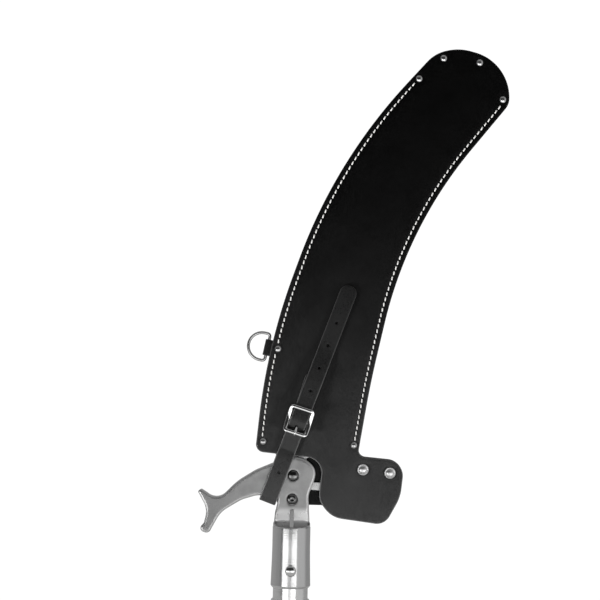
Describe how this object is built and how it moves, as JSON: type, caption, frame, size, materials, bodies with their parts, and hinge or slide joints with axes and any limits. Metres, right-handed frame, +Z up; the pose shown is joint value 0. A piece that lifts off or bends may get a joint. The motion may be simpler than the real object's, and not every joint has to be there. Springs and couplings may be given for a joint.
{
  "type": "pole pruning saw head with scabbard",
  "caption": "Pole saw head: cast socket, hook and ear with a curved blade inside a riveted, stitched leather scabbard that a buckled strap ties on, over a pole ferrule.",
  "frame": {"origin": "centre of the mouth of the pole bore, at the ferrule's lower end", "axes": "+Z up the pole axis, the blade lies in the XZ plane and curves towards +X, the buckle side faces -Y"},
  "size_m": [0.2981, 0.042, 0.6026],
  "materials": {
    "cast_alloy": "satin cast",
    "blade_steel": "ground",
    "black_bolt": "black oxide",
    "plated_steel": "zinc plated",
    "ferrule_alloy": "satin",
    "button_steel": "bright",
    "black_leather": "smooth dyed",
    "welt_leather": "cut edge",
    "white_thread": "waxed thread",
    "nickel": "polished nickel",
    "satin_nickel": "satin nickel",
    "strap_leather": "smooth dyed",
    "chrome": "polished"
  },
  "bodies": {
    "head": {"saw_head": "cast_alloy", "saw_blade": "blade_steel", "bolt_upper": "black_bolt", "bolt_lower": "black_bolt", "nut_upper": "plated_steel", "nut_lower": "plated_steel", "pole_ferrule": "ferrule_alloy", "button_spring": "plated_steel"},
    "button": {"snap_button": "button_steel"},
    "scabbard": {"front_panel": "black_leather", "rear_panel": "black_leather", "spine_welt": "welt_leather", "tip_welt": "welt_leather", "teeth_welt": "welt_leather", "lobe_welt": "welt_leather", "spine_stitch_front": "white_thread", "spine_stitch_rear": "white_thread", "teeth_stitch_front": "white_thread", "teeth_stitch_rear": "white_thread", "spine_rivets": "nickel", "teeth_rivets": "nickel", "tip_rivets": "nickel", "lobe_rivets": "satin_nickel", "ring_tab": "black_leather", "strap": "strap_leather", "strap_rivets": "nickel", "chape": "strap_leather", "chape_rivet": "nickel", "buckle_frame": "chrome"},
    "dee_ring": {"dee_ring": "nickel"},
    "prong": {"buckle_prong": "chrome"}
  },
  "joints": [
    {"name": "scabbard_draw", "type": "hinge", "parent": "head", "child": "scabbard", "pos_m": [0.539, 0.00335, 0.204], "axis": [0, 1, 0], "range_deg": [0, 52], "deforming": ["strap"]},
    {"name": "button_press", "type": "slide", "parent": "head", "child": "button", "axis": [0, 1, 0], "range_m": [0, 0.0055], "stiffness_N_per_m": 400, "springref_m": -0.003, "deforming": ["button_spring"]},
    {"name": "ring_swing", "type": "hinge", "parent": "scabbard", "child": "dee_ring", "pos_m": [-0.0275, 0.00335, 0.3053], "axis": [0.2045, 0, 0.9789], "range_deg": [-90, 90]},
    {"name": "prong_lift", "type": "hinge", "parent": "scabbard", "child": "prong", "pos_m": [0.00498, -0.0064, 0.23443], "axis": [-0.9563, 0, 0.2924], "range_deg": [0, 80], "deforming": ["strap"]}
  ]
}
